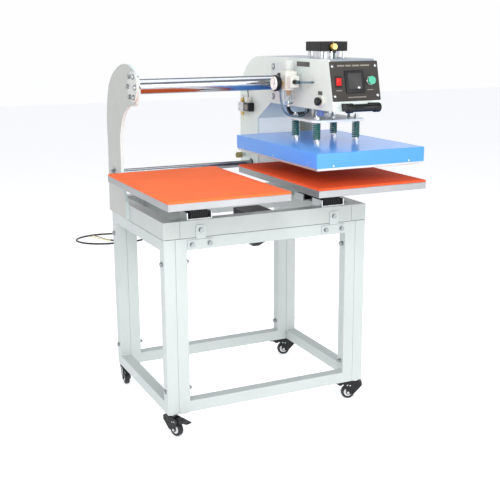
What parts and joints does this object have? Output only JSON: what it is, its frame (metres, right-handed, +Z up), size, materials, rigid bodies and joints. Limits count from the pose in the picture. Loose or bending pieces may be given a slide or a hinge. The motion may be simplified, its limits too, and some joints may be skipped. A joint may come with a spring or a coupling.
{
  "type": "heat press",
  "caption": "Pneumatic heat press on a caster stand: a sliding head carries a blue heater over either of two side-by-side platens.",
  "frame": {"origin": "on the floor, under the middle of the machine without its cord", "axes": "+X to the right seen from the front, +Y from the front to the back, +Z up"},
  "size_m": [0.9276, 1.0958, 1.286],
  "materials": {
    "frame_paint": "semi-gloss pale grey-green powder coat",
    "plate_paint": "smooth pale grey powder coat",
    "bolt_zinc": "zinc plated",
    "chrome_shaft": "ground and hard chromed",
    "support_steel": "zinc plated channels with black blocks",
    "aluminium": "machined",
    "silicone": "matt orange-red silicone",
    "black_box": "black powder coat",
    "black_plastic": "moulded black plastic",
    "black_rubber": "smooth black sheath",
    "zinc_caster": "bright zinc plated pressing",
    "black_caster": "gloss black lacquered pressing",
    "wheel_tread": "dark grey tread with a white hub",
    "blue_cover": "gloss blue powder coat",
    "blue_tube": "clear bluish polyurethane",
    "brass": "nickel and brass fittings",
    "cylinder": "anodised barrel with black caps",
    "white_plastic": "white moulding",
    "knob_plastic": "pale ribbed moulding",
    "clear_bowl": "clear polycarbonate",
    "gauge": "black case with a white dial",
    "needle_red": "painted",
    "valve": "die-cast body with a black coil",
    "panel_grey": "dark grey textured overlay",
    "screen": "black bezel round a lit display",
    "bezel": "polished rings",
    "red_plastic": "glossy red",
    "green_plastic": "glossy green",
    "olive_rubber": "olive polyurethane",
    "spring_green": "painted green",
    "carrier_steel": "ground steel plate",
    "bearing_cast": "painted casting"
  },
  "bodies": {
    "stand": {"left_side_frame": "frame_paint", "right_side_frame": "frame_paint", "cross_frames": "frame_paint", "base_frame": "frame_paint", "joining_plates": "plate_paint", "frame_bolts": "bolt_zinc", "left_upright": "plate_paint", "right_upright": "plate_paint", "upper_shaft": "chrome_shaft", "lower_shaft": "chrome_shaft", "shaft_flanges": "bearing_cast", "platen_supports": "support_steel", "lower_platens": "aluminium", "silicone_pads": "silicone", "junction_box": "black_box", "cord_gland": "black_plastic", "cord_clip": "black_plastic", "power_cord": "black_rubber", "caster_stems": "zinc_caster"},
    "head": {"head_left_plate": "plate_paint", "head_right_plate": "plate_paint", "head_cover": "plate_paint", "column_cover": "plate_paint", "shaft_bearings": "bearing_cast", "lower_carriage": "aluminium", "bumpers": "olive_rubber", "air_cylinder": "cylinder", "air_fittings": "brass", "air_tubes": "blue_tube", "regulator_body": "white_plastic", "filter_bowl": "clear_bowl", "pressure_gauge": "gauge", "solenoid_valve": "valve", "control_panel": "panel_grey", "touch_screen": "screen", "button_bezels": "bezel", "handle": "black_plastic"},
    "press": {"press_rods": "chrome_shaft", "carrier_plate": "carrier_steel", "springs": "spring_green"},
    "heater": {"heater_cover": "blue_cover", "heating_plate": "aluminium", "heater_studs": "bolt_zinc"},
    "rocker": {"rocker_switch": "red_plastic"},
    "start": {"start_button": "green_plastic"},
    "side": {"side_button": "black_plastic"},
    "pressure_knob": {"regulator_knob": "knob_plastic"},
    "needle": {"gauge_needle": "needle_red"},
    "front_left_fork": {"front_left_fork": "black_caster"},
    "front_left_wheel": {"front_left_wheel": "wheel_tread"},
    "front_left_pedal": {"front_left_pedal": "black_caster"},
    "front_right_fork": {"front_right_fork": "black_caster"},
    "front_right_wheel": {"front_right_wheel": "wheel_tread"},
    "front_right_pedal": {"front_right_pedal": "black_caster"},
    "rear_left_fork": {"rear_left_fork": "black_caster"},
    "rear_left_wheel": {"rear_left_wheel": "wheel_tread"},
    "rear_left_pedal": {"rear_left_pedal": "black_caster"},
    "rear_right_fork": {"rear_right_fork": "black_caster"},
    "rear_right_wheel": {"rear_right_wheel": "wheel_tread"},
    "rear_right_pedal": {"rear_right_pedal": "black_caster"}
  },
  "joints": [
    {"name": "head_slide", "type": "slide", "parent": "stand", "child": "head", "axis": [1, 0, 0], "range_m": [-0.495, 0]},
    {"name": "press_stroke", "type": "slide", "parent": "head", "child": "press", "axis": [0, 0, 1], "range_m": [-0.05, 0]},
    {"name": "heater_float", "type": "slide", "parent": "press", "child": "heater", "axis": [0, 0, 1], "range_m": [0, 0.008], "stiffness_N_per_m": 24000, "springref_m": -0.01, "deforming": ["springs"]},
    {"name": "rocker_tilt", "type": "hinge", "parent": "head", "child": "rocker", "pos_m": [0.1845, -0.28704, 1.16227], "axis": [1, 0, 0], "range_deg": [-14, 0]},
    {"name": "start_press", "type": "slide", "parent": "head", "child": "start", "axis": [0, 0.9719, -0.2352], "range_m": [0, 0.004], "stiffness_N_per_m": 400, "springref_m": -0.003},
    {"name": "side_press", "type": "slide", "parent": "head", "child": "side", "axis": [1, 0, 0], "range_m": [0, 0.004], "stiffness_N_per_m": 400, "springref_m": -0.003},
    {"name": "pressure_turn", "type": "hinge", "parent": "head", "child": "pressure_knob", "pos_m": [0.114, -0.0785, 1.19], "axis": [0, 0, 1], "range_deg": [-540, 540]},
    {"name": "needle_turn", "type": "hinge", "parent": "head", "child": "needle", "pos_m": [0.0604, -0.0785, 1.152], "axis": [-1, 0, 0], "range_deg": [-135, 135], "stiffness_Nm_per_rad": 0.002},
    {"name": "front_left_swivel", "type": "hinge", "parent": "stand", "child": "front_left_fork", "pos_m": [-0.356, -0.1425, 0.066], "axis": [0, 0, 1], "continuous": true},
    {"name": "front_left_roll", "type": "hinge", "parent": "front_left_fork", "child": "front_left_wheel", "pos_m": [-0.3474, -0.16275, 0.025], "axis": [-0.9205, -0.3907, 0], "continuous": true},
    {"name": "front_left_brake", "type": "hinge", "parent": "front_left_fork", "child": "front_left_pedal", "pos_m": [-0.34428, -0.17011, 0.058], "axis": [0.9205, 0.3907, 0], "range_deg": [0, 18]},
    {"name": "front_right_swivel", "type": "hinge", "parent": "stand", "child": "front_right_fork", "pos_m": [0.356, -0.1425, 0.066], "axis": [0, 0, 1], "continuous": true},
    {"name": "front_right_roll", "type": "hinge", "parent": "front_right_fork", "child": "front_right_wheel", "pos_m": [0.3356, -0.13426, 0.025], "axis": [0.3746, 0.9272, 0], "continuous": true},
    {"name": "front_right_brake", "type": "hinge", "parent": "front_right_fork", "child": "front_right_pedal", "pos_m": [0.32818, -0.13126, 0.058], "axis": [-0.3746, -0.9272, 0], "range_deg": [0, 18]},
    {"name": "rear_left_swivel", "type": "hinge", "parent": "stand", "child": "rear_left_fork", "pos_m": [-0.356, 0.3795, 0.066], "axis": [0, 0, 1], "continuous": true},
    {"name": "rear_left_roll", "type": "hinge", "parent": "rear_left_fork", "child": "rear_left_wheel", "pos_m": [-0.35906, 0.35771, 0.025], "axis": [-0.9903, 0.1392, 0], "continuous": true},
    {"name": "rear_left_brake", "type": "hinge", "parent": "rear_left_fork", "child": "rear_left_pedal", "pos_m": [-0.36018, 0.34979, 0.058], "axis": [0.9903, -0.1392, 0], "range_deg": [0, 18]},
    {"name": "rear_right_swivel", "type": "hinge", "parent": "stand", "child": "rear_right_fork", "pos_m": [0.356, 0.3795, 0.066], "axis": [0, 0, 1], "continuous": true},
    {"name": "rear_right_roll", "type": "hinge", "parent": "rear_right_fork", "child": "rear_right_wheel", "pos_m": [0.33533, 0.38702, 0.025], "axis": [0.342, 0.9397, 0], "continuous": true},
    {"name": "rear_right_brake", "type": "hinge", "parent": "rear_right_fork", "child": "rear_right_pedal", "pos_m": [0.32781, 0.38976, 0.058], "axis": [-0.342, -0.9397, 0], "range_deg": [0, 18]}
  ]
}
